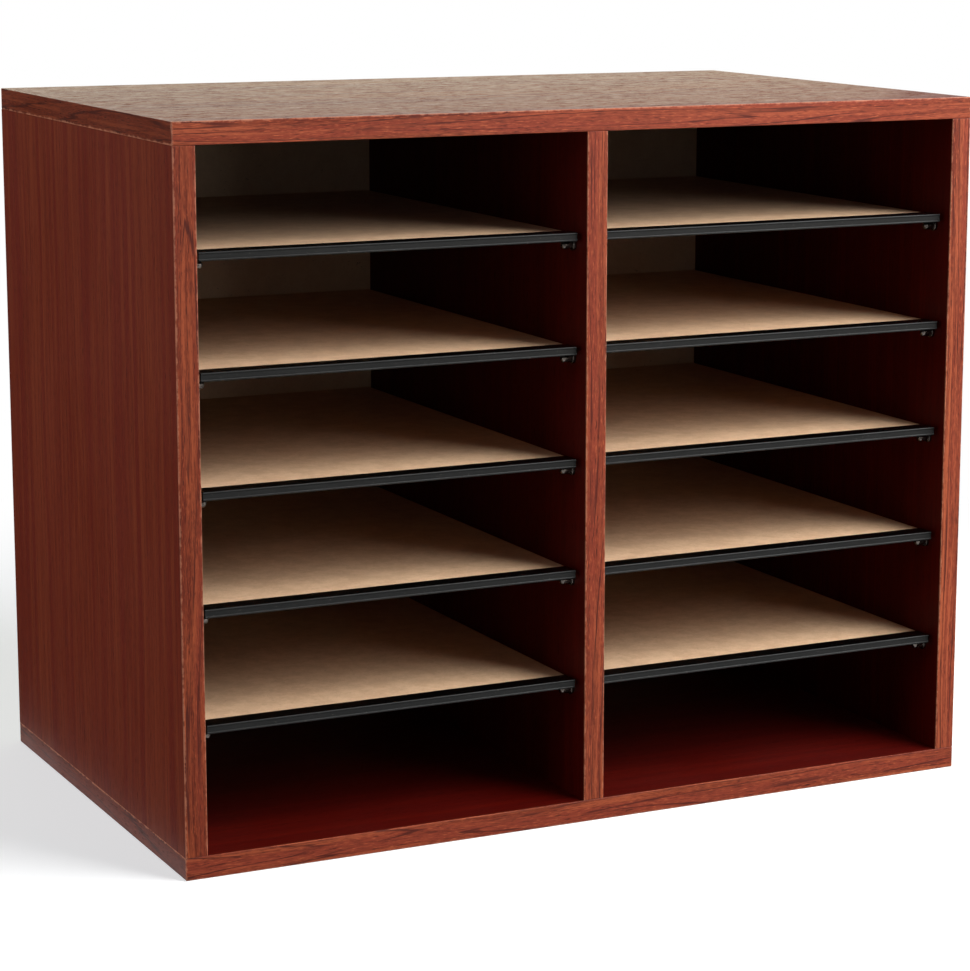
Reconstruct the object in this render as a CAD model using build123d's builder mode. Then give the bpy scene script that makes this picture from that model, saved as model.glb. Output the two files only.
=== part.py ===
from build123d import *

# A literature organizer: a laminated cabinet with two columns of thin shelves that lie loose on their pegs.
# The origin is on the floor under the middle of the cabinet, X runs along its width, Y to its back, Z up.

import os
from math import sqrt

os.makedirs("parts", exist_ok=True)

# Cabinet
cabinet_width = 495.0
side_depth = 304.0
cabinet_height = 408.0
panel_thickness = 12.5
band_thickness = 0.8
back_thickness = 3.0
back_inset = 2.0

# Glued tongues that join the standing boards to the top and the bottom
tongue_thickness = 5.0
tongue_length = 5.0
glue_gap = 0.05
groove_spare = 0.5

# Peg rows
lowest_peg_height = 75.5
shelf_pitch = 64.0
least_top_compartment = 50.0
front_peg_setback = 16.0
rear_peg_setback = 32.0

# Shelf pegs
peg_radius = 2.5
peg_reach = 8.4
peg_hole_clearance = 0.05
peg_hole_spare = 1.5
divider_peg_gap = 0.5

# Shelf boards
shelf_thickness = 3.0
shelf_side_gap = 2.2
shelf_rear_gap = 2.0
peg_shelf_gap = 0.25

# Moulding along the front edge of each shelf, cut a little shorter than the board
moulding_setback = 6.0
moulding_cut_short = 0.8
web_thickness = 1.0
lip_thickness = 1.0
lip_depth = 12.5
lip_nose = 0.4
bead_radius = 0.7
bead_proud = 0.45

# Staples through the back panel
staple_wire = 1.0
staple_crown = 8.0
staple_length = 14.0
staple_setback = 60.0

# Faces that the pieces share
half_width = cabinet_width / 2
front = -(side_depth + back_thickness) / 2
panel_front = front + band_thickness
panel_rear = front + side_depth
back_rear = panel_rear + back_thickness
panel_depth = panel_rear - panel_front
panel_middle_y = (panel_front + panel_rear) / 2
floor_top = panel_thickness
ceiling = cabinet_height - panel_thickness
standing_height = ceiling - floor_top
side_x = half_width - panel_thickness / 2
standing_boards = (-side_x, 0, side_x)
column_width = (cabinet_width - 3 * panel_thickness) / 2
column_x = (column_width + panel_thickness) / 2
columns = {"left": -column_x, "right": column_x}

# Both peg rows of a wall are bored at the same heights, listed here from the top shelf down
front_row = front + front_peg_setback
rear_row = panel_rear - rear_peg_setback
peg_insert = (panel_thickness - divider_peg_gap) / 2
moulding_height = shelf_thickness + 2 * lip_thickness
moulding_rise = peg_radius + peg_shelf_gap + moulding_height
shelf_room = ceiling - least_top_compartment - moulding_rise - lowest_peg_height
shelf_count = 1 + int(shelf_room // shelf_pitch)
peg_heights = [lowest_peg_height + shelf_pitch * step for step in reversed(range(shelf_count))]


def wall_spots(wall_x, turn):
    """Where the pegs stand on one wall: turn is 90 where the wall faces +X, and -90 where it faces -X."""
    return [
        Location((wall_x, row, height), (0, turn, 0))
        for height in peg_heights
        for row in (front_row, rear_row)
    ]


def upright_staple_spots(board_x):
    """Staples into the rear edge of one standing board, with upright crowns."""
    heights = (staple_setback, cabinet_height - staple_setback)
    return [Location((board_x, back_rear, height), (-90, 0, 90)) for height in heights]


def level_staple_spots(height):
    """Staples into the rear edge of the top or the bottom panel, with level crowns."""
    return [Location((middle_x, back_rear, height), (-90, 0, 0)) for middle_x in columns.values()]


peg_spots = {
    "left_side_pegs": wall_spots(-half_width + panel_thickness, 90),
    "divider_left_pegs": wall_spots(-panel_thickness / 2, -90),
    "divider_right_pegs": wall_spots(panel_thickness / 2, 90),
    "right_side_pegs": wall_spots(half_width - panel_thickness, -90),
}
top_staple_spots = level_staple_spots(cabinet_height - panel_thickness / 2)
bottom_staple_spots = level_staple_spots(panel_thickness / 2)
all_staple_spots = [*top_staple_spots, *bottom_staple_spots]
for board_x in standing_boards:
    all_staple_spots += upright_staple_spots(board_x)

# One wire staple, its crown level with the face that it is driven through and its legs below
with BuildPart() as staple:
    with BuildSketch(Plane.XZ):
        with Locations((0, -staple_length / 2)):
            Rectangle(staple_crown, staple_length)
        with Locations((0, -(staple_length + staple_wire) / 2)):
            Rectangle(staple_crown - 2 * staple_wire, staple_length - staple_wire, mode=Mode.SUBTRACT)
    extrude(amount=staple_wire / 2, both=True)

# Top and bottom panels, which lie over and under the standing boards and are grooved for their tongues
with BuildPart() as top_panel:
    with BuildSketch(Plane.XY.offset(ceiling)):
        with Locations((0, panel_middle_y)):
            Rectangle(cabinet_width - 2 * band_thickness, panel_depth)
    extrude(amount=panel_thickness)
    with BuildSketch(Plane.XY.offset(ceiling)):
        with Locations(*[(board_x, panel_middle_y) for board_x in standing_boards]):
            Rectangle(tongue_thickness + 2 * glue_gap, panel_depth)
    extrude(amount=tongue_length + groove_spare, mode=Mode.SUBTRACT)
    with Locations(*top_staple_spots):
        add(staple.part, mode=Mode.SUBTRACT)
top_panel.part.label = "top_panel"
export_step(top_panel.part, "parts/top_panel.step")

with BuildPart() as bottom_panel:
    with BuildSketch():
        with Locations((0, panel_middle_y)):
            Rectangle(cabinet_width - 2 * band_thickness, panel_depth)
    extrude(amount=panel_thickness)
    with BuildSketch(Plane.XY.offset(floor_top)):
        with Locations(*[(board_x, panel_middle_y) for board_x in standing_boards]):
            Rectangle(tongue_thickness + 2 * glue_gap, panel_depth)
    extrude(amount=-(tongue_length + groove_spare), mode=Mode.SUBTRACT)
    with Locations(*bottom_staple_spots):
        add(staple.part, mode=Mode.SUBTRACT)
bottom_panel.part.label = "bottom_panel"
export_step(bottom_panel.part, "parts/bottom_panel.step")


def standing_board(board_x):
    """A standing board with a tongue along each end and the slots of its staples, before its peg holes."""
    with BuildSketch(Plane.XY.offset(floor_top)) as outline:
        with Locations((board_x, panel_middle_y)):
            Rectangle(panel_thickness, panel_depth)
    extrude(outline.sketch, amount=standing_height)
    with BuildSketch(Plane.XY.offset(floor_top - tongue_length)) as tongue:
        with Locations((board_x, panel_middle_y)):
            Rectangle(tongue_thickness, panel_depth)
    extrude(tongue.sketch, amount=standing_height + 2 * tongue_length)
    with Locations(*upright_staple_spots(board_x)):
        add(staple.part, mode=Mode.SUBTRACT)


# Side panels, bored blind for the pegs from the inside, so their outer faces stay whole
with BuildPart() as left_side_panel:
    standing_board(-side_x)
    with Locations(*peg_spots["left_side_pegs"]):
        Hole(peg_radius + peg_hole_clearance, depth=peg_insert + peg_hole_spare)
left_side_panel.part.label = "left_side_panel"
export_step(left_side_panel.part, "parts/left_side_panel.step")

with BuildPart() as right_side_panel:
    standing_board(side_x)
    with Locations(*peg_spots["right_side_pegs"]):
        Hole(peg_radius + peg_hole_clearance, depth=peg_insert + peg_hole_spare)
right_side_panel.part.label = "right_side_panel"
export_step(right_side_panel.part, "parts/right_side_panel.step")

# Centre divider, bored right through: each hole takes a peg from either side
with BuildPart() as centre_divider:
    standing_board(0)
    with Locations(*peg_spots["divider_right_pegs"]):
        Hole(peg_radius + peg_hole_clearance, depth=panel_thickness)
centre_divider.part.label = "centre_divider"
export_step(centre_divider.part, "parts/centre_divider.step")

# Hardboard back, stapled on the rear edges a little inside the outline
with BuildPart() as back_panel:
    with BuildSketch(Plane.XZ.offset(-panel_rear)):
        with Locations((0, cabinet_height / 2)):
            Rectangle(cabinet_width - 2 * back_inset, cabinet_height - 2 * back_inset)
    extrude(amount=-back_thickness)
    with Locations(*all_staple_spots):
        add(staple.part, mode=Mode.SUBTRACT)
back_panel.part.label = "back_panel"
export_step(back_panel.part, "parts/back_panel.step")

with BuildPart() as back_staples:
    with Locations(*all_staple_spots):
        add(staple.part)
back_staples.part.label = "back_staples"
export_step(back_staples.part, "parts/back_staples.step")

# Bands glued on the front edges: those of the top and the bottom run through the corners
front_bands = {
    "top_edge_band": (0, cabinet_height - panel_thickness / 2, cabinet_width, panel_thickness),
    "bottom_edge_band": (0, panel_thickness / 2, cabinet_width, panel_thickness),
    "left_side_edge_band": (-side_x, cabinet_height / 2, panel_thickness, standing_height),
    "right_side_edge_band": (side_x, cabinet_height / 2, panel_thickness, standing_height),
    "divider_edge_band": (0, cabinet_height / 2, panel_thickness, standing_height),
}
for band_name, (middle_x, middle_z, band_width, band_height) in front_bands.items():
    with BuildPart() as front_band:
        with BuildSketch(Plane.XZ.offset(-panel_front)):
            with Locations((middle_x, middle_z)):
                Rectangle(band_width, band_height)
        extrude(amount=band_thickness)
    front_band.part.label = band_name
    export_step(front_band.part, f"parts/{band_name}.step")

# Bands on the ends of the top and bottom panels, behind the front bands
end_x = half_width - band_thickness / 2
end_bands = {
    "top_left_end_band": (-end_x, ceiling),
    "top_right_end_band": (end_x, ceiling),
    "bottom_left_end_band": (-end_x, 0),
    "bottom_right_end_band": (end_x, 0),
}
for band_name, (middle_x, base_z) in end_bands.items():
    with BuildPart() as end_band:
        with BuildSketch(Plane.XY.offset(base_z)):
            with Locations((middle_x, panel_middle_y)):
                Rectangle(band_thickness, panel_depth)
        extrude(amount=panel_thickness)
    end_band.part.label = band_name
    export_step(end_band.part, f"parts/{band_name}.step")

# Pegs, one group for each wall that carries them
for wall_name, spots in peg_spots.items():
    with BuildPart() as wall_pegs:
        with Locations(*spots):
            Cylinder(peg_radius, peg_insert, align=(Align.CENTER, Align.CENTER, Align.MAX))
            Cylinder(peg_radius, peg_reach, align=(Align.CENTER, Align.CENTER, Align.MIN))
    wall_pegs.part.label = wall_name
    export_step(wall_pegs.part, f"parts/{wall_name}.step")

# Heights over the pegs' axes and distances behind the front pegs, square to and along a shelf as it lies
moulding_bottom = peg_radius + peg_shelf_gap
board_bottom = moulding_bottom + lip_thickness
half_board = shelf_thickness / 2
half_moulding = moulding_height / 2
moulding_front = moulding_setback - front_peg_setback
board_front = moulding_front + bead_proud + web_thickness
board_rear = panel_rear - shelf_rear_gap - front_row
board_depth = board_rear - board_front
shelf_width = column_width - 2 * shelf_side_gap
moulding_width = shelf_width - 2 * moulding_cut_short
web_back = bead_proud + web_thickness
bead_foot = half_moulding - bead_radius - sqrt(bead_radius**2 - (bead_radius - bead_proud) ** 2)

# Shelves: the moulding's lower lip lies on the front pegs and the bare board on the rear ones, so each
# shelf leans back by one lip's thickness between the two rows
for column_name, middle_x in columns.items():
    for number, peg_height in enumerate(peg_heights, start=1):
        shelf_name = f"{column_name}_shelf_{number}"
        seat = Plane(
            origin=(middle_x, front_row, peg_height),
            x_dir=(1, 0, 0),
            z_dir=(0, lip_thickness, rear_row - front_row),
        )

        with BuildPart() as shelf_board:
            with BuildSketch(seat.offset(board_bottom)):
                with Locations((0, board_front + board_depth / 2)):
                    Rectangle(shelf_width, board_depth)
            extrude(amount=shelf_thickness)
        shelf_board.part.label = f"{shelf_name}_board"
        export_step(shelf_board.part, f"parts/{shelf_name}_board.step")

        # The channel's section, drawn from the front backwards: the upper half, then its mirror image
        section = Plane(
            origin=seat.from_local_coords((-moulding_width / 2, moulding_front, board_bottom + half_board)),
            x_dir=seat.y_dir,
            z_dir=seat.x_dir,
        )
        with BuildPart() as shelf_moulding:
            with BuildSketch(section):
                with BuildLine():
                    Line((bead_proud, 0), (bead_proud, bead_foot))
                    ThreePointArc(
                        (bead_proud, bead_foot),
                        (0, half_moulding - bead_radius),
                        (bead_radius, half_moulding),
                    )
                    Polyline(
                        (bead_radius, half_moulding),
                        (lip_depth - lip_nose, half_moulding),
                        (lip_depth, half_moulding - lip_nose),
                        (lip_depth, half_board),
                        (web_back, half_board),
                        (web_back, 0),
                    )
                    mirror(about=Plane.XZ)
                make_face()
            extrude(amount=moulding_width)
        shelf_moulding.part.label = f"{shelf_name}_moulding"
        export_step(shelf_moulding.part, f"parts/{shelf_name}_moulding.step")
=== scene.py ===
import math

import bmesh
import bpy
import numpy as np
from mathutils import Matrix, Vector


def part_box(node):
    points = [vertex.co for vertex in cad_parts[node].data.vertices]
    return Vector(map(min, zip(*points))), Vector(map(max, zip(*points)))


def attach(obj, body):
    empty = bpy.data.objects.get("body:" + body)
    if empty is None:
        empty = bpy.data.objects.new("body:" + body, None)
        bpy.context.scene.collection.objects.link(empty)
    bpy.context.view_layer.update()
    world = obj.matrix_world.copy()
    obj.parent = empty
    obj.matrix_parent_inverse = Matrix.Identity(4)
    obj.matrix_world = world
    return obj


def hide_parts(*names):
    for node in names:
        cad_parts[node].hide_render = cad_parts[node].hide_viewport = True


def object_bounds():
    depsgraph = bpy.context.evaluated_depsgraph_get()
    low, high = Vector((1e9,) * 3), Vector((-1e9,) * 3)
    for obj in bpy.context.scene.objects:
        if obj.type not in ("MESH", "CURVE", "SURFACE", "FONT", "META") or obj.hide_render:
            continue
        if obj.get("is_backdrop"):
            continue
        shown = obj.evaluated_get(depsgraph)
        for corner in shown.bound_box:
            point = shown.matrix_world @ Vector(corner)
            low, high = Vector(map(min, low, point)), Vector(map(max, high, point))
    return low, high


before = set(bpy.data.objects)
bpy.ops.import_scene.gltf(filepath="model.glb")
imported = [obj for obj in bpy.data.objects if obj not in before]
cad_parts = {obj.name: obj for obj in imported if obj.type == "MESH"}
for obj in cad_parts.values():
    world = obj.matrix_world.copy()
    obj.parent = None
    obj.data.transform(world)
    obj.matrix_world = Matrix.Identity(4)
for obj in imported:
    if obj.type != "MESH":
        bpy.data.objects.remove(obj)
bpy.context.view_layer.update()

# Camera. It stands to the left of the cabinet's front and a little above its top, with a long lens,
# as the photographer's did, and the lens is shifted to place the cabinet in the picture.
camera_data = bpy.data.cameras.new("camera")
camera_data.sensor_width = 36.0
camera_data.lens = 110.715
camera_data.shift_x = -0.0696
camera_data.shift_y = -0.0302
camera = bpy.data.objects.new("camera", camera_data)
camera.location = (-0.76769, -1.61662, 0.52072)
camera.rotation_euler = [math.radians(turn) for turn in (79.4528, -0.2135, -26.7993)]
bpy.context.collection.objects.link(camera)
bpy.context.scene.camera = camera
bpy.context.scene.view_settings.view_transform = "Standard"


# Studio lamps. A large soft box hangs in front, to the right and above, and lights the shelves from their
# front edges inwards. A box on the left opens the side, a low warm one reaches in from far in front, and a
# small warm one behind puts a sheen on the top.
def soft_box(name, place, aimed_at, width, height, watts):
    """A rectangular area lamp at a place, turned so that it shines at a point."""
    lamp = bpy.data.lights.new(name, "AREA")
    lamp.shape = "RECTANGLE"
    lamp.size = width
    lamp.size_y = height
    lamp.energy = watts
    holder = bpy.data.objects.new(name, lamp)
    towards = np.subtract(aimed_at, place)
    holder.location = place
    holder.rotation_euler = (
        math.atan2(math.hypot(towards[0], towards[1]), -towards[2]),
        0.0,
        math.atan2(-towards[0], towards[1]),
    )
    bpy.context.collection.objects.link(holder)
    return holder


soft_box("key soft box", place=(0.95, -1.05, 1.20), aimed_at=(0.0, -0.10, 0.20),
         width=1.30, height=1.25, watts=53.0)
soft_box("side soft box", place=(-1.90, 0.05, 0.50), aimed_at=(-0.20, 0.0, 0.20),
         width=1.20, height=0.90, watts=19.5)
low_box = soft_box("low front soft box", place=(1.40, -2.60, 0.44), aimed_at=(0.0, -0.10, 0.20),
                   width=1.40, height=0.80, watts=8.5)
low_box.data.color = (1.0, 0.93, 0.82)
rear_box = soft_box("rear soft box", place=(0.12, 0.50, 0.495), aimed_at=(0.02, 0.05, 0.41),
                    width=0.90, height=0.14, watts=1.0)
rear_box.data.color = (1.0, 0.97, 0.66)


# Shader nodes are added with one call each, here and in every finish below.
def put(tree, kind, sockets=None, **settings):
    """A node in a tree. Each named socket is linked, if its value is a socket, or else set."""
    made = tree.nodes.new(kind)
    for name, value in settings.items():
        setattr(made, name, value)
    for name, value in (sockets or {}).items():
        if isinstance(value, bpy.types.NodeSocket):
            tree.links.new(value, made.inputs[name])
        else:
            made.inputs[name].default_value = value
    return made


# Surroundings. The studio is dim grey to light that is scattered on to the cabinet. To the eye and in gloss
# it is plain white, as the sweep of paper behind a product is.
world = bpy.data.worlds.new("studio")
bpy.context.scene.world = world
world.use_nodes = True
sky = world.node_tree
sky.nodes.clear()
dim_studio = 0.05


def seen_ray(tree):
    """1 for a ray that shows the background, by eye, in gloss or through glass, and 0 for scattered light."""
    path = put(tree, "ShaderNodeLightPath").outputs
    eye_or_gloss = put(tree, "ShaderNodeMath", {0: path["Is Camera Ray"], 1: path["Is Glossy Ray"]},
                       operation="MAXIMUM").outputs[0]
    return put(tree, "ShaderNodeMath", {0: eye_or_gloss, 1: path["Is Transmission Ray"]},
               operation="MAXIMUM").outputs[0]


scattered = put(sky, "ShaderNodeBackground", {"Color": (1.0, 0.98, 0.96, 1.0), "Strength": dim_studio})
white = put(sky, "ShaderNodeBackground", {"Color": (1.0, 1.0, 1.0, 1.0), "Strength": 1.0})
chosen = put(sky, "ShaderNodeMixShader", {0: seen_ray(sky), 1: scattered.outputs[0], 2: white.outputs[0]})
put(sky, "ShaderNodeOutputWorld", {"Surface": chosen.outputs[0]})

# Floor. A wide sheet of matt white paper. Near the cabinet it shows the soft shadow, lifted by a faint glow
# of its own, and further off it is plain white to the eye. It throws little light back on to the cabinet.
floor_reach = 60.0
floor_drop = 0.0002
shadow_kept_to = 0.42
white_from = 0.90
floor_mesh = bpy.data.meshes.new("floor")
floor_corners = np.array([(-1, -1, 0), (1, -1, 0), (1, 1, 0), (-1, 1, 0)]) * floor_reach
floor_corners[:, 2] = -floor_drop
floor_mesh.from_pydata(floor_corners.tolist(), [], [(0, 1, 2, 3)])
floor = bpy.data.objects.new("floor", floor_mesh)
bpy.context.collection.objects.link(floor)
paper = bpy.data.materials.new("white paper")
paper.use_nodes = True
sheet = paper.node_tree
sheet.nodes.clear()
floor_place = put(sheet, "ShaderNodeTexCoord").outputs["Object"]
from_cabinet = put(sheet, "ShaderNodeVectorMath", {0: floor_place}, operation="LENGTH").outputs["Value"]
matt = put(sheet, "ShaderNodeBsdfDiffuse", {"Color": (0.66, 0.66, 0.66, 1.0)})
glow = put(sheet, "ShaderNodeEmission", {"Color": (0.945, 0.975, 1.0, 1.0), "Strength": 0.553})
lifted = put(sheet, "ShaderNodeAddShader", {0: matt.outputs[0], 1: glow.outputs[0]})
open_paper = put(sheet, "ShaderNodeEmission", {"Color": (1.0, 1.0, 1.0, 1.0), "Strength": 1.0})
openness = put(sheet, "ShaderNodeMapRange",
               {"Value": from_cabinet, "From Min": shadow_kept_to, "From Max": white_from},
               interpolation_type="SMOOTHSTEP").outputs["Result"]
seen_paper = put(sheet, "ShaderNodeMixShader", {0: openness, 1: lifted.outputs[0], 2: open_paper.outputs[0]})
shaded = put(sheet, "ShaderNodeBsdfDiffuse", {"Color": (0.12, 0.12, 0.12, 1.0)})
paper_look = put(sheet, "ShaderNodeMixShader", {0: seen_ray(sheet), 1: shaded.outputs[0],
                                                2: seen_paper.outputs[0]})
put(sheet, "ShaderNodeOutputMaterial", {"Surface": paper_look.outputs[0]})
floor_mesh.materials.append(paper)
floor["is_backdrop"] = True

# Flag. A black cloth lies on the floor to the left of the cabinet and behind it, and its far end stands up.
# It is seen only in gloss: without it the white paper would bleach the side panel, which is seen at a low
# angle. The flat share of its length runs from front to back, and the rest rises.
flag_width = 2.2
flag_edge = -0.262
flag_front = -0.16
flag_run = 3.4
flag_height = 1.9
flag_lift = 0.0001
flat_share = 0.7
flag_strips = 12
flag_steps = np.linspace(0.0, 1.0, flag_strips + 1)
flag_turn, flag_rise = np.meshgrid(flag_steps, flag_steps)
flag_points = np.stack([
    flag_edge - flag_width * flag_turn.ravel(),
    flag_front + flag_run * np.minimum(flag_rise, flat_share).ravel() / flat_share,
    flag_lift + flag_height * np.maximum(flag_rise - flat_share, 0.0).ravel() / (1.0 - flat_share),
], axis=1)
flag_row = flag_strips + 1
flag_corner = np.arange(flag_strips * flag_row).reshape(flag_strips, flag_row)[:, :flag_strips].ravel()
flag_faces = np.stack([flag_corner, flag_corner + 1, flag_corner + flag_row + 1, flag_corner + flag_row],
                      axis=1)
flag_mesh = bpy.data.meshes.new("flag")
flag_mesh.from_pydata(flag_points.tolist(), [], flag_faces.tolist())
flag = bpy.data.objects.new("flag", flag_mesh)
bpy.context.collection.objects.link(flag)
cloth = bpy.data.materials.new("black cloth")
cloth.use_nodes = True
cloth_sockets = cloth.node_tree.nodes["Principled BSDF"].inputs
cloth_sockets["Base Color"].default_value = (0.01, 0.01, 0.01, 1.0)
cloth_sockets["Roughness"].default_value = 1.0
cloth_sockets["Specular IOR Level"].default_value = 0.0
flag_mesh.materials.append(cloth)
flag.visible_camera = False
flag.visible_diffuse = False
flag.visible_transmission = False
flag.visible_shadow = False
flag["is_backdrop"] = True


# Laminated boards. The top, the bottom, the two sides and the centre divider are chipboard, faced with a
# printed mahogany foil under clear melamine. The print's grain runs along each board, and the rear edges are
# left raw.
def tone(red, green, blue):
    """A colour given as screen values from 0 to 255, as linear light with full cover. The screen's curve is a
    straight line at its dark end and a power above it."""
    screen = np.array((red, green, blue)) / 255.0
    light = np.where(screen <= 0.04045, screen / 12.92, ((screen + 0.055) / 1.055) ** 2.4)
    return (*light.tolist(), 1.0)


def reckon(tree, operation, first, second=0.5, third=0.5, clamp=False):
    """The result of one sum, with sockets or numbers in it."""
    return put(tree, "ShaderNodeMath", {0: first, 1: second, 2: third}, operation=operation,
               use_clamp=clamp).outputs[0]


def stretched_noise(tree, place, scales, detail=2.0, roughness=0.5, distortion=0.0, result="Fac"):
    """Noise whose lumps are one over the scales in size, in metres, along each axis."""
    scaled = put(tree, "ShaderNodeVectorMath", {0: place, 1: scales}, operation="MULTIPLY").outputs[0]
    return put(tree, "ShaderNodeTexNoise", {"Vector": scaled, "Scale": 1.0, "Detail": detail,
                                            "Roughness": roughness, "Distortion": distortion}).outputs[result]


def ramp(tree, value, low, high, bottom=0.0, top=1.0):
    """The value carried smoothly from bottom to top as it goes from low to high, and held outside them."""
    return put(tree, "ShaderNodeMapRange", {"Value": value, "From Min": low, "From Max": high,
                                            "To Min": bottom, "To Max": top},
               interpolation_type="SMOOTHSTEP").outputs["Result"]


def blend_colours(tree, share, first, second, kind="MIX"):
    """The first colour with a share of the second laid over it. A mix node's colour sockets share their names
    with its others, so they are told apart by their numbers."""
    mixed = put(tree, "ShaderNodeMix", {"Factor": share}, data_type="RGBA", blend_type=kind)
    colour_inputs = (6, 7)
    colour_output = 2
    for socket_number, colour in zip(colour_inputs, (first, second)):
        if isinstance(colour, bpy.types.NodeSocket):
            tree.links.new(colour, mixed.inputs[socket_number])
        else:
            mixed.inputs[socket_number].default_value = colour
    return mixed.outputs[colour_output]


def new_group(name, wanted, given):
    """An empty node group with its input and output sockets. Returns its tree, its inputs and its outputs."""
    tree = bpy.data.node_groups.new(name, "ShaderNodeTree")
    kinds = {"value": "NodeSocketFloat", "colour": "NodeSocketColor", "vector": "NodeSocketVector"}
    for socket_name, kind in wanted.items():
        tree.interface.new_socket(socket_name, in_out="INPUT", socket_type=kinds[kind])
    for socket_name, kind in given.items():
        tree.interface.new_socket(socket_name, in_out="OUTPUT", socket_type=kinds[kind])
    return tree, put(tree, "NodeGroupInput").outputs, put(tree, "NodeGroupOutput").inputs


def use_group(tree, group, **sockets):
    """One use of a node group. The words of a socket's name are joined by underscores."""
    used = put(tree, "ShaderNodeGroup", node_tree=group)
    for name, value in sockets.items():
        wanted = name.replace("_", " ")
        if isinstance(value, bpy.types.NodeSocket):
            tree.links.new(value, used.inputs[wanted])
        else:
            used.inputs[wanted].default_value = value
    return used.outputs


# The print: long streaks that wander a little, thin growth lines, short dashes both pale and dark, fine pores
# and a slow drift of hue, under a gloss that thins and thickens in short dashes. The place's first axis runs
# along the grain.
grain_wander = 0.009
ring_closeness = 96.0
ring_waver = 5.0
streak_middle = 0.52
hairline_share = 0.7
fibre_in_streaks = 0.22
fibre_rise = 0.35
dash_depth = 0.6
wood_print, want, give = new_group(
    "wood print",
    {"Place": "vector", "Dark": "colour", "Light": "colour", "Line": "colour", "Pore": "colour",
     "Figure": "value", "Pore amount": "value", "Cast": "colour"},
    {"Colour": "colour", "Height": "value", "Pores": "value", "Shine": "value"},
)
wander = stretched_noise(wood_print, want["Place"], (5.0, 16.0, 16.0), detail=1.0, result="Color")
centred = put(wood_print, "ShaderNodeVectorMath", {0: wander, 1: (0.5, 0.5, 0.5)}, operation="SUBTRACT")
sideways = put(wood_print, "ShaderNodeVectorMath",
               {0: centred.outputs[0], 1: (0.0, grain_wander, grain_wander)}, operation="MULTIPLY")
course = put(wood_print, "ShaderNodeVectorMath", {0: want["Place"], 1: sideways.outputs[0]},
             operation="ADD").outputs[0]
streaks = stretched_noise(wood_print, course, (6.0, 430.0, 430.0), detail=5.0, roughness=0.66)
drift = stretched_noise(wood_print, course, (1.6, 110.0, 110.0), detail=3.0, roughness=0.6)
fibre = stretched_noise(wood_print, course, (70.0, 3200.0, 3200.0), detail=1.0)
rings = stretched_noise(wood_print, course, (1.7, 42.0, 42.0), detail=1.0)
ring_phase = reckon(wood_print, "MULTIPLY_ADD", rings, ring_closeness,
                    reckon(wood_print, "MULTIPLY", streaks, ring_waver))
ring_wave = reckon(wood_print, "SINE", ring_phase)
growth_lines = ramp(wood_print, ring_wave, 0.82, 1.0)
line_break = stretched_noise(wood_print, course, (14.0, 200.0, 200.0), detail=2.0)
broken_rings = reckon(wood_print, "MULTIPLY", growth_lines, ramp(wood_print, line_break, 0.30, 0.52))
dashes = stretched_noise(wood_print, course, (210.0, 1900.0, 1900.0), detail=2.0, roughness=0.6)
dark_dashes = ramp(wood_print, dashes, 0.54, 0.74, top=0.75)
pale_dashes = ramp(wood_print, dashes, 0.46, 0.28)
off_streak = reckon(wood_print, "ABSOLUTE", reckon(wood_print, "SUBTRACT", streaks, streak_middle))
hairlines = reckon(wood_print, "MULTIPLY", ramp(wood_print, off_streak, 0.022, 0.004),
                   ramp(wood_print, line_break, 0.62, 0.44))
dark_lines = reckon(wood_print, "MAXIMUM", broken_rings,
                    reckon(wood_print, "MULTIPLY", hairlines, hairline_share))
glints = stretched_noise(wood_print, want["Place"], (120.0, 440.0, 440.0), detail=3.0, roughness=0.75)
shine = reckon(wood_print, "ADD", ramp(wood_print, glints, 0.37, 0.46, top=0.66),
               ramp(wood_print, glints, 0.56, 0.66, top=0.54))
pore_noise = stretched_noise(wood_print, course, (150.0, 2700.0, 2700.0), detail=0.0)
pore_field = ramp(wood_print, streaks, 0.62, 0.36, bottom=0.25)
pores = reckon(wood_print, "MULTIPLY", ramp(wood_print, pore_noise, 0.64, 0.76), pore_field)
fibrous_streaks = reckon(wood_print, "MULTIPLY_ADD", fibre, fibre_in_streaks, streaks)
streaked = blend_colours(wood_print, ramp(wood_print, fibrous_streaks, 0.46, 0.76),
                         want["Dark"], want["Light"])
drifting = blend_colours(wood_print, ramp(wood_print, drift, 0.42, 0.62), streaked, want["Cast"])
flecked = blend_colours(wood_print, reckon(wood_print, "MULTIPLY", pale_dashes, want["Pore amount"]),
                        drifting, want["Light"])
lined = blend_colours(wood_print, reckon(wood_print, "MULTIPLY", dark_lines, want["Figure"]),
                      flecked, want["Line"])
dashed = blend_colours(wood_print, reckon(wood_print, "MULTIPLY", dark_dashes, want["Pore amount"]),
                       lined, want["Line"])
printed = blend_colours(wood_print, reckon(wood_print, "MULTIPLY", pores, want["Pore amount"]),
                        dashed, want["Pore"])
pored_relief = reckon(wood_print, "SUBTRACT", reckon(wood_print, "MULTIPLY", fibre, fibre_rise), pores)
print_relief = reckon(wood_print, "MULTIPLY_ADD", dark_dashes, -dash_depth, pored_relief)
for socket_name, result in (
    ("Colour", printed),
    ("Height", print_relief),
    ("Pores", pores),
    ("Shine", shine),
):
    wood_print.links.new(result, give[socket_name])

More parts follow.
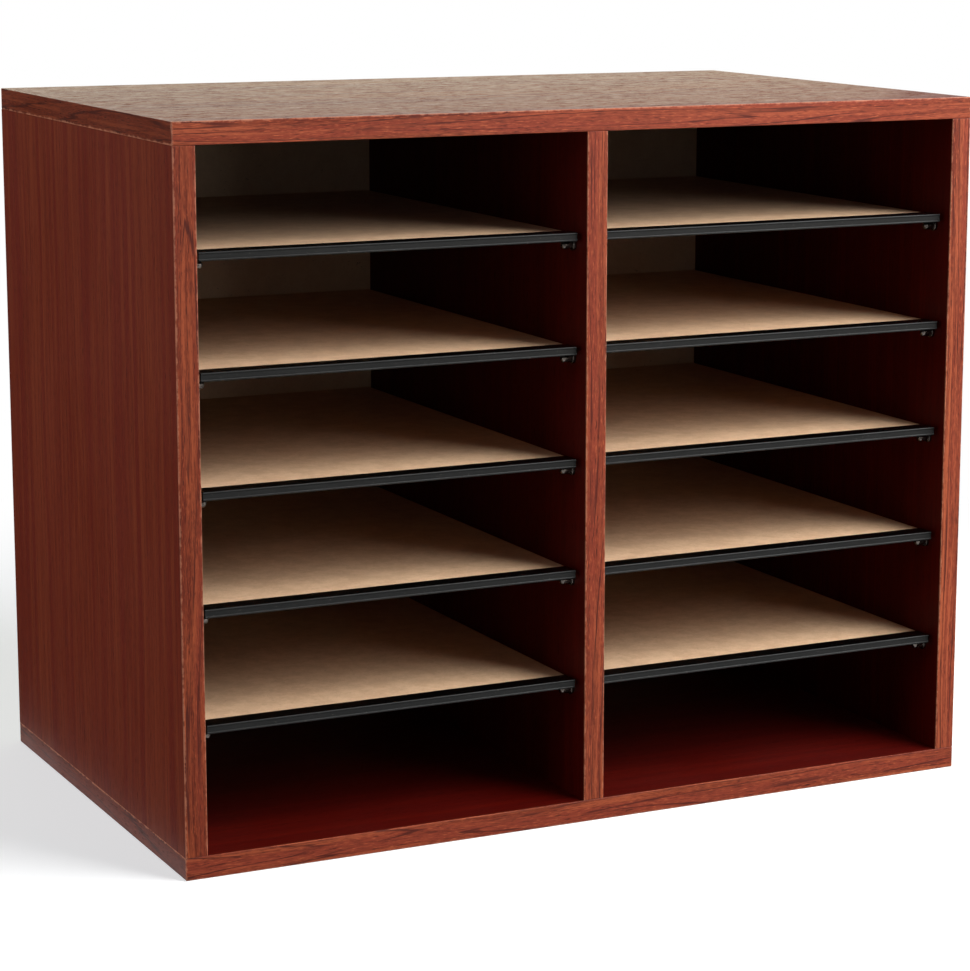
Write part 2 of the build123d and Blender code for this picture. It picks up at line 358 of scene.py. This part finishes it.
# Wear along a board's edges, which on the bands carries painted highlight too: the distance to the second
# nearest of its faces, broken up by noise.
edge_wear, want, give = new_group(
    "edge wear",
    {"Place": "vector", "Middle": "vector", "Half size": "vector", "Width": "value"},
    {"Wear": "value"},
)
from_middle = put(edge_wear, "ShaderNodeVectorMath", {0: want["Place"], 1: want["Middle"]},
                  operation="SUBTRACT")
to_side = put(edge_wear, "ShaderNodeVectorMath", {0: from_middle.outputs[0]}, operation="ABSOLUTE")
inset = put(edge_wear, "ShaderNodeVectorMath", {0: want["Half size"], 1: to_side.outputs[0]},
            operation="SUBTRACT")
depths = put(edge_wear, "ShaderNodeSeparateXYZ", {0: inset.outputs[0]}).outputs
nearer = reckon(edge_wear, "MINIMUM", depths[0], depths[1])
farther = reckon(edge_wear, "MAXIMUM", depths[0], depths[1])
second_nearest = reckon(edge_wear, "MAXIMUM", nearer, reckon(edge_wear, "MINIMUM", farther, depths[2]))
ragged = stretched_noise(edge_wear, want["Place"], (240.0, 240.0, 240.0), detail=3.0, roughness=0.7)
wear_reach = reckon(edge_wear, "MULTIPLY", want["Width"],
                    ramp(edge_wear, ragged, 0.35, 0.7, bottom=0.25, top=1.6))
wear = reckon(edge_wear, "SUBTRACT", 1.0, reckon(edge_wear, "DIVIDE", second_nearest, wear_reach), clamp=True)
edge_wear.links.new(wear, give["Wear"])


def start_finish(name):
    """An empty material with its tree, its surface shader and the place and facing of the surface."""
    finish = bpy.data.materials.new(name)
    finish.use_nodes = True
    tree = finish.node_tree
    tree.nodes.clear()
    shader = put(tree, "ShaderNodeBsdfPrincipled")
    put(tree, "ShaderNodeOutputMaterial", {"Surface": shader.outputs[0]})
    where = put(tree, "ShaderNodeTexCoord").outputs
    return finish, tree, shader, where["Object"], where["Normal"]


# Raw chipboard: flat wood flakes of many browns, pressed in resin, as a saw leaves them.
raw_chipboard, want, give = new_group(
    "raw chipboard",
    {"Place": "vector"},
    {"Colour": "colour", "Height": "value"},
)
flake_place = put(raw_chipboard, "ShaderNodeVectorMath", {0: want["Place"], 1: (420.0, 900.0, 900.0)},
                  operation="MULTIPLY").outputs[0]
flakes = put(raw_chipboard, "ShaderNodeTexVoronoi", {"Vector": flake_place, "Scale": 1.0, "Randomness": 1.0})
flake_tint = put(raw_chipboard, "ShaderNodeSeparateXYZ", {0: flakes.outputs["Color"]}).outputs[0]
flake_colour = blend_colours(raw_chipboard, flake_tint, tone(112, 80, 52), tone(192, 154, 110))
resin = ramp(raw_chipboard, flakes.outputs["Distance"], 0.45, 0.85, top=0.8)
chipboard_colour = blend_colours(raw_chipboard, resin, flake_colour, tone(70, 46, 30))
raw_chipboard.links.new(chipboard_colour, give["Colour"])
raw_chipboard.links.new(reckon(raw_chipboard, "SUBTRACT", flake_tint, resin), give["Height"])

# Faces that are not turned outward are made darker and redder: painted shade, on the same foil as the
# outside's. Edges are paled by wear, and on the bands by painted highlight too. A face counts as turned a
# given way where more than a half of its normal points that way.
inside_painted_shade = (0.52, 0.075, 0.03, 1.0)
wear_and_highlight_tone = tone(206, 138, 108)
pore_roughness = 0.18
sawn_roughness = 0.4
flake_relief = 2.0
half_facing = 0.5


def wood_finish(name, node, grain_axis, start, print_colours, figure, pore_amount, gloss, reflectance,
                wear_and_highlight_share, wear_width, lacquer=0.0, outward=None, covered=(0.0, 0.0)):
    """Printed wood on one piece, with its grain along one axis and pale edges, from wear and, on the bands,
    from painted highlight. A board is given with the direction that it shows outward, or zeros if it shows
    none: its other faces are darkened by painted shade, its rear edge is raw, and lacquer may lie on it,
    thick and thin along the grain. Covered says how much further off the wearing edges below and above are
    taken to be, where they are sheltered and keep their print."""
    finish, tree, shader, place, facing = start_finish(name)
    turns = {"x": (0.0, 0.0, 0.0), "y": (0.0, 0.0, math.pi / 2), "z": (0.0, math.pi / 2, 0.0)}
    along = put(tree, "ShaderNodeMapping",
                {"Vector": place, "Location": start, "Rotation": turns[grain_axis]}, vector_type="POINT")
    dark, light, line, pore, cast = print_colours
    wood = use_group(tree, wood_print, Place=along.outputs[0], Dark=dark, Light=light, Line=line, Pore=pore,
                     Cast=cast, Figure=figure, Pore_amount=pore_amount)
    lowest, highest = (np.array(corner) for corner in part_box(node))
    lowest[2] -= covered[0]
    highest[2] += covered[1]
    wear_and_highlight_mask = use_group(tree, edge_wear, Place=place, Middle=((lowest + highest) / 2).tolist(),
                     Half_size=((highest - lowest) / 2).tolist(), Width=wear_width)["Wear"]
    foil = wood["Colour"]
    # Faces that are not turned outward are darkened and reddened: painted shade.
    if outward:
        turned_out = put(tree, "ShaderNodeVectorMath", {0: facing, 1: outward}, operation="DOT_PRODUCT")
        painted_shade_faces = reckon(tree, "LESS_THAN", turned_out.outputs["Value"], half_facing)
        foil = blend_colours(tree, painted_shade_faces, foil, inside_painted_shade, "MULTIPLY")
    # Pale edges: wear, and on the bands painted highlight too.
    surface = blend_colours(tree, reckon(tree, "MULTIPLY", wear_and_highlight_mask, wear_and_highlight_share), foil, wear_and_highlight_tone)
    smudges = stretched_noise(tree, place, (9.0, 9.0, 9.0), detail=4.0, roughness=0.6)
    smudged = ramp(tree, smudges, 0.3, 0.7, bottom=gloss - 0.05, top=gloss + 0.06)
    roughness = reckon(tree, "MULTIPLY_ADD", wood["Pores"], pore_roughness, smudged)
    relief = wood["Height"]
    if outward:
        turned_back = put(tree, "ShaderNodeVectorMath", {0: facing, 1: (0.0, 1.0, 0.0)},
                          operation="DOT_PRODUCT")
        raw = reckon(tree, "GREATER_THAN", turned_back.outputs["Value"], half_facing)
        chipboard = use_group(tree, raw_chipboard, Place=place)
        surface = blend_colours(tree, raw, surface, chipboard["Colour"])
        roughness = reckon(tree, "MULTIPLY_ADD", raw, sawn_roughness, roughness)
        sawn_relief = reckon(tree, "MULTIPLY", chipboard["Height"], raw)
        relief = reckon(tree, "MULTIPLY_ADD", sawn_relief, flake_relief, relief)
    if outward and lacquer:
        foiled = reckon(tree, "SUBTRACT", 1.0, raw)
        coat = reckon(tree, "MULTIPLY", reckon(tree, "MULTIPLY", wood["Shine"], lacquer), foiled)
        shader.inputs["Coat Roughness"].default_value = gloss
        tree.links.new(coat, shader.inputs["Coat Weight"])
    tree.links.new(surface, shader.inputs["Base Color"])
    tree.links.new(roughness, shader.inputs["Roughness"])
    shader.inputs["Specular IOR Level"].default_value = reflectance
    bump = put(tree, "ShaderNodeBump", {"Height": relief, "Strength": 0.22, "Distance": 0.00008})
    tree.links.new(bump.outputs[0], shader.inputs["Normal"])
    return finish


board_print = (tone(96, 35, 22), tone(114, 50, 30), tone(76, 26, 16), tone(50, 17, 10), tone(95, 32, 22))
# The top's print is a darker, browner copy of the boards': painted shade, which offsets the stronger light on
# the top.
top_print_with_painted_shade = (tone(84, 35, 18), tone(116, 62, 34), tone(68, 26, 14), tone(50, 19, 10), tone(86, 33, 23))
for board, print_colours, grain_axis, start, reflectance, lacquer, outward in (
    ("top_panel", top_print_with_painted_shade, "x", (0.31, 0.12, 0.55), 0.0, 0.81, (0.0, 0.0, 1.0)),
    ("bottom_panel", board_print, "x", (1.27, 0.64, 0.23), 0.22, 0.0, (0.0, 0.0, -1.0)),
    ("left_side_panel", board_print, "z", (0.83, 0.37, 0.71), 0.09, 0.0, (-1.0, 0.0, 0.0)),
    ("right_side_panel", board_print, "z", (2.14, 0.93, 0.45), 0.09, 0.0, (1.0, 0.0, 0.0)),
    ("centre_divider", board_print, "z", (3.36, 0.58, 0.87), 0.15, 0.0, (0.0, 0.0, 0.0)),
):
    laminate = wood_finish(f"laminate of {board}", board, grain_axis, start, print_colours, figure=0.35,
                           pore_amount=0.75, gloss=0.44, reflectance=reflectance, wear_and_highlight_share=0.12,
                           wear_width=0.0005, lacquer=lacquer, outward=outward)
    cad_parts[board].data.materials.clear()
    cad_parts[board].data.materials.append(laminate)


# Edge bands. Thin strips of plastic with a redder print of their own are glued on the front edges and on the
# ends of the top and the bottom. Their front corners are scraped round, and the pale line along them is wear
# and painted highlight.
def tube_faces(rows, columns):
    """The faces of a tube of points: four corners each, from every row to the next, closed round the row."""
    row, column = np.meshgrid(np.arange(rows - 1), np.arange(columns), indexing="ij")
    after = (column + 1) % columns
    return np.stack([row * columns + column, row * columns + after, (row + 1) * columns + after,
                     (row + 1) * columns + column], axis=-1).reshape(-1, 4)


def eased_block(lowest, highest, out_axis, out_sign, ease, rear_ease, steps=6):
    """A block with rounded edges: points of a small ball, each moved out by the block's half size less the
    ball's radius, to the corner that it faces. Rows that face outwards take the ease, the others the rear
    ease."""
    flat_axes = [axis for axis in range(3) if axis != out_axis]
    lowest = np.array(lowest)
    highest = np.array(highest)
    middle = (lowest + highest) / 2
    half = (highest - lowest) / 2
    quarter = np.linspace(0.0, np.pi / 2, steps)
    turn = np.concatenate([quarter + quadrant * np.pi / 2 for quadrant in range(4)])
    corner_turn = np.repeat(np.arange(4) * np.pi / 2 + np.pi / 4, steps)
    rise = np.concatenate([-quarter[::-1], quarter])
    radius = np.repeat([rear_ease, ease], steps)[:, None]
    side = np.repeat([-1.0, 1.0], steps)[:, None]
    across, upward = (
        middle[axis] + np.sign(wave(corner_turn)) * (half[axis] - radius)
        + radius * wave(turn) * np.cos(rise)[:, None]
        for axis, wave in zip(flat_axes, (np.cos, np.sin))
    )
    rows = len(rise)
    columns = len(turn)
    points = np.empty((rows, columns, 3))
    points[..., flat_axes[0]] = across
    points[..., flat_axes[1]] = upward
    points[..., out_axis] = middle[out_axis] + out_sign * (
        side * (half[out_axis] - radius) + radius * np.sin(rise)[:, None])
    rear_face = list(range(columns))[::-1]
    front_face = list(range((rows - 1) * columns, rows * columns))
    return points.reshape(-1, 3), tube_faces(rows, columns).tolist() + [rear_face, front_face]


merge_distance = 1e-7
crease_angle = math.radians(38)


def make_piece(name, points, faces, finish, slot, body, *nodes):
    """A closed piece from points and faces: doubles merged, faces turned outwards, flat faces shaded flat.
    It rides on a body and stands for the CAD nodes."""
    mesh = bpy.data.meshes.new(name)
    mesh.from_pydata(points.tolist(), [], faces)
    work = bmesh.new()
    work.from_mesh(mesh)
    bmesh.ops.remove_doubles(work, verts=work.verts, dist=merge_distance)
    bmesh.ops.recalc_face_normals(work, faces=work.faces)
    work.to_mesh(mesh)
    work.free()
    mesh.polygons.foreach_set("use_smooth", np.ones(len(mesh.polygons), dtype=bool))
    mesh.set_sharp_from_angle(angle=crease_angle)
    mesh.materials.append(finish)
    piece = bpy.data.objects.new(name, mesh)
    bpy.context.collection.objects.link(piece)
    shading = piece.modifiers.new("even shading", "WEIGHTED_NORMAL")
    shading.keep_sharp = True
    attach(piece, body)
    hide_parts(*nodes)
    return piece


band_ease = 0.00042
glued_ease = 0.00003
band_print = (tone(103, 36, 19), tone(168, 84, 53), tone(76, 24, 15), tone(62, 19, 11), tone(134, 56, 37))
# The left band's print is a darker copy of the others': painted shade on the band farthest from the key
# light.
left_band_print_with_painted_shade = (tone(95, 31, 15), tone(152, 73, 44), tone(70, 21, 12), tone(58, 17, 9), tone(122, 49, 31))
end_band_print = (tone(80, 26, 12), tone(120, 54, 31), tone(60, 18, 9), tone(48, 14, 7), tone(96, 37, 21))
# The bands' strong pale edges are wear and painted highlight.
band_wear_and_highlight = (0.62, 0.0009)
end_wear_and_highlight = (0.8, 0.0012)
for band, print_colours, grain_axis, out_axis, out_sign, start, (wear_and_highlight_share, wear_width), covered in (
    ("top_edge_band", band_print, "x", 1, -1, (0.94, 0.47, 0.62), band_wear_and_highlight, (1.0, 0.0)),
    ("bottom_edge_band", band_print, "x", 1, -1, (1.72, 0.81, 0.39), band_wear_and_highlight, (0.0, 1.0)),
    ("left_side_edge_band", left_band_print_with_painted_shade, "z", 1, -1, (2.61, 0.35, 0.12), band_wear_and_highlight, (1.0, 1.0)),
    ("right_side_edge_band", band_print, "z", 1, -1, (3.19, 0.52, 0.14), band_wear_and_highlight, (1.0, 1.0)),
    ("divider_edge_band", band_print, "z", 1, -1, (4.58, 0.73, 0.91), band_wear_and_highlight, (1.0, 1.0)),
    ("top_left_end_band", end_band_print, "y", 0, -1, (5.07, 0.19, 0.47), end_wear_and_highlight, (0.0, 1.0)),
    ("top_right_end_band", end_band_print, "y", 0, 1, (6.31, 0.44, 0.83), end_wear_and_highlight, (0.0, 1.0)),
    ("bottom_left_end_band", end_band_print, "y", 0, -1, (7.66, 0.95, 0.29), end_wear_and_highlight, (1.0, 0.0)),
    ("bottom_right_end_band", end_band_print, "y", 0, 1, (8.12, 0.61, 0.57), end_wear_and_highlight, (1.0, 0.0)),
):
    strip = wood_finish(f"print of {band}", band, grain_axis, start, print_colours, figure=0.95,
                        pore_amount=1.0, gloss=0.42, reflectance=0.15, wear_and_highlight_share=wear_and_highlight_share,
                        wear_width=wear_width, covered=covered)
    block_points, block_faces = eased_block(*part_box(band), out_axis, out_sign, band_ease, glued_ease)
    make_piece(f"{band}_strip", block_points, block_faces, strip, "edge_band", "cabinet", band)


# Hardboard. The back and the ten shelves are thin boards of pressed wood fibre: smooth and tan on the face,
# stamped by the press's wire screen on the other side, and darker and fibrous where they are sawn.
screen_pitch = 0.0016
screen_cover = 0.85
cloud_share = 1.5
matted_share = 0.9
dark_chip_share = 0.5
pale_chip_share = 0.35
stamp_relief = 0.9
matted_relief = 0.5
layer_relief = 1.5
pressed_fibre, want, give = new_group(
    "pressed fibre",
    {"Place": "vector", "Facing": "vector", "Face": "vector", "Tan": "colour", "Umber": "colour"},
    {"Colour": "colour", "Height": "value", "Sawn": "value"},
)
towards_face = put(pressed_fibre, "ShaderNodeVectorMath", {0: want["Facing"], 1: want["Face"]},
                   operation="DOT_PRODUCT").outputs["Value"]
sawn = reckon(pressed_fibre, "LESS_THAN", reckon(pressed_fibre, "ABSOLUTE", towards_face), half_facing)
screen_side = reckon(pressed_fibre, "LESS_THAN", towards_face, -half_facing)
clouds = stretched_noise(pressed_fibre, want["Place"], (85.0, 85.0, 85.0), detail=4.0, roughness=0.75)
matted = stretched_noise(pressed_fibre, want["Place"], (520.0, 520.0, 520.0), detail=4.0, roughness=0.7,
                         distortion=1.8)
chips = stretched_noise(pressed_fibre, want["Place"], (330.0, 520.0, 420.0), detail=1.0, distortion=2.4)
dark_chips = ramp(pressed_fibre, chips, 0.70, 0.80)
pale_chips = ramp(pressed_fibre, chips, 0.30, 0.22)
layers = stretched_noise(pressed_fibre, want["Place"], (350.0, 2600.0, 2600.0), detail=3.0, roughness=0.7)
fibre_mix = reckon(pressed_fibre, "MULTIPLY_ADD", clouds, cloud_share,
                   reckon(pressed_fibre, "MULTIPLY", matted, matted_share))
fibre_colour = blend_colours(pressed_fibre, ramp(pressed_fibre, fibre_mix, 0.92, 1.48, bottom=0.14, top=0.54),
                             want["Tan"], want["Umber"])
dark_chipped = blend_colours(pressed_fibre, reckon(pressed_fibre, "MULTIPLY", dark_chips, dark_chip_share),
                             fibre_colour, tone(92, 64, 44))
face_colour = blend_colours(pressed_fibre, reckon(pressed_fibre, "MULTIPLY", pale_chips, pale_chip_share),
                            dark_chipped, tone(222, 200, 170))
sawn_colour = blend_colours(pressed_fibre, ramp(pressed_fibre, layers, 0.3, 0.7), tone(70, 44, 28),
                            tone(128, 92, 62))
face_and_edges = blend_colours(pressed_fibre, sawn, face_colour, sawn_colour)
wires = put(pressed_fibre, "ShaderNodeVectorMath", {0: want["Place"], "Scale": 2 * math.pi / screen_pitch},
            operation="SCALE")
waves = put(pressed_fibre, "ShaderNodeVectorMath", {0: wires.outputs[0]}, operation="SINE")
wave_parts = put(pressed_fibre, "ShaderNodeSeparateXYZ", {0: waves.outputs[0]}).outputs
woven = reckon(pressed_fibre, "ADD", wave_parts[0],
               reckon(pressed_fibre, "ADD", wave_parts[1], wave_parts[2]))
stamped = reckon(pressed_fibre, "MULTIPLY", screen_side, woven)
woven_colour = blend_colours(pressed_fibre, ramp(pressed_fibre, woven, -1.2, 1.2), tone(152, 110, 80),
                             tone(196, 152, 114))
screen_colour = blend_colours(pressed_fibre, ramp(pressed_fibre, matted, 0.35, 0.7), woven_colour,
                              tone(172, 130, 98))
hardboard_colour = blend_colours(pressed_fibre, reckon(pressed_fibre, "MULTIPLY", screen_side, screen_cover),
                                 face_and_edges, screen_colour)
face_relief = reckon(pressed_fibre, "MULTIPLY_ADD", stamped, stamp_relief,
                     reckon(pressed_fibre, "MULTIPLY", matted, matted_relief))
hardboard_relief = reckon(pressed_fibre, "MULTIPLY_ADD", reckon(pressed_fibre, "MULTIPLY", layers, sawn),
                          layer_relief, face_relief)
for socket_name, result in (("Colour", hardboard_colour), ("Height", hardboard_relief), ("Sawn", sawn)):
    pressed_fibre.links.new(result, give[socket_name])

edge_roughness = 0.25


def hardboard_finish(name, face, tan, umber):
    """Hardboard whose smooth side faces one way."""
    finish, tree, shader, place, facing = start_finish(name)
    board = use_group(tree, pressed_fibre, Place=place, Facing=facing, Face=face, Tan=tan, Umber=umber)
    tree.links.new(board["Colour"], shader.inputs["Base Color"])
    rubbed = stretched_noise(tree, place, (40.0, 40.0, 40.0), detail=3.0, roughness=0.6)
    smooth = ramp(tree, rubbed, 0.3, 0.7, bottom=0.56, top=0.70)
    tree.links.new(reckon(tree, "MULTIPLY_ADD", board["Sawn"], edge_roughness, smooth),
                   shader.inputs["Roughness"])
    shader.inputs["Specular IOR Level"].default_value = 0.35
    bump = put(tree, "ShaderNodeBump", {"Height": board["Height"], "Strength": 0.35, "Distance": 0.00012})
    tree.links.new(bump.outputs[0], shader.inputs["Normal"])
    return finish


column_names = ("left", "right")
shelf_numbers = range(1, 6)
shelf_hardboard = hardboard_finish("hardboard of the shelves", (0.0, 0.0, 1.0), tone(231, 196, 160),
                                   tone(184, 144, 110))
for column in column_names:
    for number in shelf_numbers:
        shelf_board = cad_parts[f"{column}_shelf_{number}_board"]
        shelf_board.data.materials.clear()
        shelf_board.data.materials.append(shelf_hardboard)
# The back's hardboard is a paler copy of the shelves': painted light, where little light reaches the back.
back_hardboard_with_painted_light = hardboard_finish("hardboard of the back", (0.0, -1.0, 0.0), tone(247, 226, 194),
                                  tone(222, 196, 164))
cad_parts["back_panel"].data.materials.clear()
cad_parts["back_panel"].data.materials.append(back_hardboard_with_painted_light)

# Shelf mouldings. Each shelf's front edge is gripped by a channel of black plastic, drawn through a die: a
# flat front between two fine beads, and two lips that reach back over and under the board. The lower lip lies
# on the front pegs, and the bare board on the rear ones, so the shelf leans back by the lip's thickness.
lip_depth = 0.0125
lip_nose = 0.0004
wall_thickness = 0.001
bead_radius = 0.0007
bead_proud = 0.00045
half_channel = 0.0025
half_slot = 0.0015
end_ease = 0.0001
sharpest_join = 0.3
peg_rows_apart = 0.256
shelf_lean = wall_thickness / peg_rows_apart


def channel_outline(bead_steps=9):
    """Half of the channel's section from the front's middle round to the slot's, then its mirror image.
    A bead is an arc from where it meets the front to where it meets the lip."""
    bead_middle = half_channel - bead_radius
    foot = math.pi + math.acos((bead_radius - bead_proud) / bead_radius)
    angle = np.linspace(foot, math.pi / 2, bead_steps)
    arc = np.stack([bead_radius + bead_radius * np.cos(angle),
                    bead_middle + bead_radius * np.sin(angle)], axis=1)
    rest = np.array([
        (lip_depth - lip_nose, half_channel),
        (lip_depth, half_channel - lip_nose),
        (lip_depth, half_slot),
        (bead_proud + wall_thickness, half_slot),
    ])
    upper = np.concatenate([arc, rest])
    lower = upper[::-1] * (1.0, -1.0)
    return np.concatenate([upper, lower])


def drawn_channel(middle, width, outline):
    """The section carried along X from one cut end to the other, with its last step drawn in to ease the cut:
    each corner moves along the sum of its two sides' inward normals. Depth and height follow the shelf's
    lean."""
    stations = np.array([-width / 2, -width / 2 + end_ease, width / 2 - end_ease, width / 2])
    pulled_in = np.array([end_ease, 0.0, 0.0, end_ease])
    ahead = np.roll(outline, -1, axis=0) - outline
    ahead /= np.linalg.norm(ahead, axis=1)[:, None]
    normals = np.stack([ahead[:, 1], -ahead[:, 0]], axis=1)
    joined = normals + np.roll(normals, 1, axis=0)
    joined /= np.maximum((joined * normals).sum(1), sharpest_join)[:, None]
    section = outline[None] + joined[None] * pulled_in[:, None, None]
    depth = section[..., 0]
    height = section[..., 1]
    count = len(outline)
    points = np.empty((len(stations), count, 3))
    points[..., 0] = middle[0] + stations[:, None]
    points[..., 1] = middle[1] + depth + height * shelf_lean
    points[..., 2] = middle[2] + height - depth * shelf_lean
    faces = tube_faces(len(stations), count).tolist()
    last = (len(stations) - 1) * count
    for base in (0, last):
        faces += [[base + step, base + step + 1, base + count - 2 - step, base + count - 1 - step]
                  for step in range(count // 2 - 1)]
    return points.reshape(-1, 3), faces


dust_share = 0.25
lip_polish = 0.22
black_plastic, tree, shader, place, facing = start_finish("black plastic")
die_lines = stretched_noise(tree, place, (3.0, 2400.0, 2400.0), detail=2.0, roughness=0.6)
scuffs = stretched_noise(tree, place, (45.0, 300.0, 300.0), detail=4.0, roughness=0.7, distortion=0.8)
dust = stretched_noise(tree, place, (900.0, 900.0, 900.0), detail=1.0)
dust_specks = ramp(tree, dust, 0.70, 0.80)
scuffed_black = blend_colours(tree, ramp(tree, scuffs, 0.35, 0.75), tone(6, 7, 7), tone(14, 14, 14))
dusty_black = blend_colours(tree, reckon(tree, "MULTIPLY", dust_specks, dust_share), scuffed_black,
                            tone(120, 116, 108))
# The lips, which face up or down, are painted near black: painted shade. They are also made smoother.
upright = reckon(tree, "ABSOLUTE", put(tree, "ShaderNodeSeparateXYZ", {0: facing}).outputs[2])
lip_shade_and_polish = ramp(tree, upright, 0.90, 0.99)
plastic_colour = blend_colours(tree, lip_shade_and_polish, dusty_black, tone(3, 3, 3))
tree.links.new(plastic_colour, shader.inputs["Base Color"])
scuffed = ramp(tree, scuffs, 0.3, 0.75, bottom=0.34, top=0.52)
tree.links.new(reckon(tree, "MULTIPLY_ADD", lip_shade_and_polish, -lip_polish, scuffed), shader.inputs["Roughness"])
shader.inputs["Specular IOR Level"].default_value = 0.17
die_bump = put(tree, "ShaderNodeBump", {"Height": die_lines, "Strength": 0.2, "Distance": 0.00004})
tree.links.new(die_bump.outputs[0], shader.inputs["Normal"])

for column in column_names:
    for number in shelf_numbers:
        moulding = f"{column}_shelf_{number}_moulding"
        lowest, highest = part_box(moulding)
        section_middle = (lowest.z + highest.z) / 2 + lip_depth / 2 * shelf_lean
        front_middle = ((lowest.x + highest.x) / 2, lowest.y, section_middle)
        channel_points, channel_faces = drawn_channel(front_middle, highest.x - lowest.x, channel_outline())
        make_piece(f"{moulding}_channel", channel_points, channel_faces, black_plastic, "black_moulding",
                   f"{column}_shelf_{number}", moulding)

# Shelf pegs. Turned steel, nickel plated: a shank pressed into the board, a thin collar against its face and
# a rounded tip. Two pegs hold up each end of a shelf.
peg_radius = 0.0025
peg_insert = 0.006
shank_chamfer = 0.0004
collar_radius = 0.0033
collar_thickness = 0.0019
collar_ease = 0.0003
tip_start = 0.0064
tip_end = 0.0084


def peg_outline(collar_steps=4, tip_steps=9):
    """Distance out of the wall and radius, from the shank's inner end over the collar to the tip, which is a
    quarter of an ellipse. The collar's corners are quarters of a circle."""
    bend = np.linspace(0.0, np.pi / 2, collar_steps)
    collar_back = np.stack([collar_ease - collar_ease * np.cos(bend),
                            collar_radius - collar_ease + collar_ease * np.sin(bend)], axis=1)
    collar_face = np.stack([collar_thickness - collar_ease + collar_ease * np.sin(bend),
                            collar_radius - collar_ease + collar_ease * np.cos(bend)], axis=1)
    swing = np.linspace(0.0, np.pi / 2, tip_steps)
    tip = np.stack([tip_start + (tip_end - tip_start) * np.sin(swing), peg_radius * np.cos(swing)], axis=1)
    shank = [
        (-peg_insert, 0.0),
        (-peg_insert, peg_radius - shank_chamfer),
        (-peg_insert + shank_chamfer, peg_radius),
        (0.0, peg_radius),
    ]
    return np.concatenate([shank, collar_back, collar_face, [(collar_thickness, peg_radius)], tip])


def turned(outline, middle, facing_sign, sides=36):
    """The outline turned once round an axis along X that starts at the wall."""
    angle = np.linspace(0.0, 2 * np.pi, sides, endpoint=False)
    points = np.empty((len(outline), sides, 3))
    points[..., 0] = middle[0] + facing_sign * outline[:, 0, None]
    points[..., 1] = middle[1] + outline[:, 1, None] * np.cos(angle)
    points[..., 2] = middle[2] + outline[:, 1, None] * np.sin(angle)
    return points.reshape(-1, 3), tube_faces(len(outline), sides)


nickel, tree, shader, place, _ = start_finish("nickel plate")
turning = stretched_noise(tree, place, (5200.0, 300.0, 300.0), detail=1.0)
tarnish = stretched_noise(tree, place, (400.0, 400.0, 400.0), detail=4.0, roughness=0.65)
# The plate's colours are far darker than bright nickel: painted shade, standing in for dark surroundings in
# its reflection.
nickel_colour_with_painted_shade = blend_colours(tree, ramp(tree, tarnish, 0.40, 0.70), tone(92, 86, 82), tone(50, 44, 40))
tree.links.new(nickel_colour_with_painted_shade, shader.inputs["Base Color"])
shader.inputs["Metallic"].default_value = 1.0
tree.links.new(ramp(tree, tarnish, 0.3, 0.75, bottom=0.13, top=0.28), shader.inputs["Roughness"])
turned_bump = put(tree, "ShaderNodeBump", {"Height": turning, "Strength": 0.3, "Distance": 0.00004})
tree.links.new(turned_bump.outputs[0], shader.inputs["Normal"])

for wall_pegs, facing_sign in (
    ("left_side_pegs", 1),
    ("divider_left_pegs", -1),
    ("divider_right_pegs", 1),
    ("right_side_pegs", -1),
):
    lowest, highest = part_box(wall_pegs)
    shank_end = lowest.x if facing_sign > 0 else highest.x
    wall_x = shank_end + facing_sign * peg_insert
    peg_heights = np.linspace(highest.z - peg_radius, lowest.z + peg_radius, len(shelf_numbers))
    middle_y = (lowest.y + highest.y) / 2
    peg_rows = (middle_y - peg_rows_apart / 2, middle_y + peg_rows_apart / 2)
    parts = [turned(peg_outline(), (wall_x, row_y, height), facing_sign)
             for height in peg_heights for row_y in peg_rows]
    starts = np.cumsum([0] + [len(points) for points, _ in parts[:-1]])
    all_points = np.concatenate([points for points, _ in parts])
    all_faces = np.concatenate([faces + start for (_, faces), start in zip(parts, starts)])
    make_piece(f"{wall_pegs}_turned", all_points, all_faces.tolist(), nickel, "peg_metal", "cabinet",
               wall_pegs)

# Staples. Galvanized wire staples hold the back on, driven in until their crowns lie level with the
# hardboard. The zinc has faint spangles and stains.
zinc, tree, shader, place, _ = start_finish("galvanized wire")
spangle = put(tree, "ShaderNodeTexVoronoi", {"Vector": place, "Scale": 900.0}).outputs["Distance"]
stain = stretched_noise(tree, place, (260.0, 260.0, 260.0), detail=3.0, roughness=0.6)
zinc_colour = blend_colours(tree, ramp(tree, stain, 0.4, 0.7), tone(176, 178, 180), tone(118, 116, 112))
tree.links.new(zinc_colour, shader.inputs["Base Color"])
shader.inputs["Metallic"].default_value = 1.0
tree.links.new(ramp(tree, spangle, 0.1, 0.6, bottom=0.34, top=0.5), shader.inputs["Roughness"])
zinc_bump = put(tree, "ShaderNodeBump", {"Height": stain, "Strength": 0.3, "Distance": 0.00005})
tree.links.new(zinc_bump.outputs[0], shader.inputs["Normal"])
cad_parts["back_staples"].data.materials.clear()
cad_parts["back_staples"].data.materials.append(zinc)

# The finished model's box, found from the objects that are shown.
lowest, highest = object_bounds()
